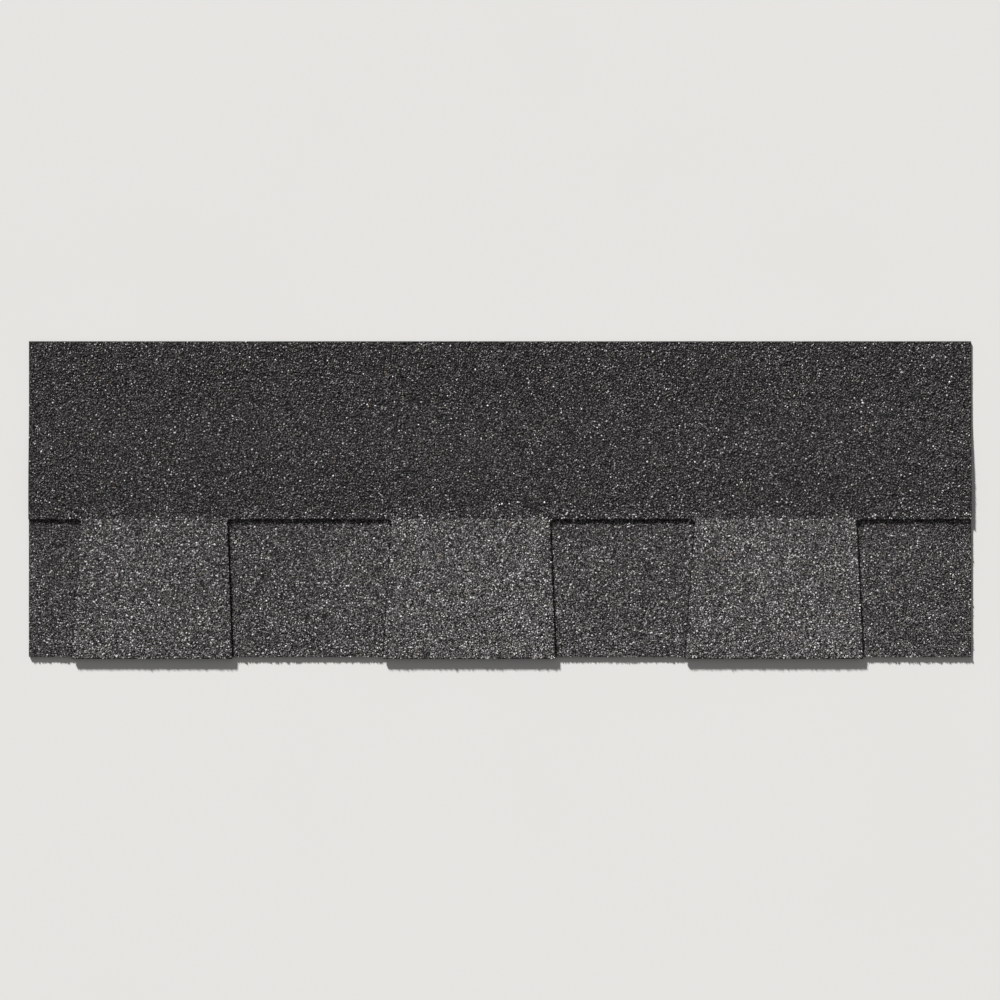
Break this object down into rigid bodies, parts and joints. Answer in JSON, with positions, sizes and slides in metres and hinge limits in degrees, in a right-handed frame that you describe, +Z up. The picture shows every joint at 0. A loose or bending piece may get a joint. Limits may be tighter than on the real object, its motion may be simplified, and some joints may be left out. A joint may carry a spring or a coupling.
{
  "type": "laminated asphalt shingle",
  "caption": "Two-ply asphalt roof shingle with granule face, tapered teeth over a full-length backer, and a plain headlap, lying flat with its weather face up.",
  "frame": {"origin": "on the floor, under the middle of the shingle's length and height", "axes": "+X along the length, +Y from the butt edge to the top edge, +Z up, out of the weather face"},
  "size_m": [1, 0.337, 0.0062],
  "materials": {
    "overlay_granules": "matte",
    "backer_granules": "matte",
    "asphalt_adhesive": "satin",
    "asphalt_sealant": "gloss",
    "release_film": "gloss"
  },
  "bodies": {
    "root": {"overlay_sheet": "overlay_granules", "backer_strip": "backer_granules", "laminating_beads": "asphalt_adhesive", "sealant_dashes": "asphalt_sealant", "release_film": "release_film"}
  },
  "joints": []
}
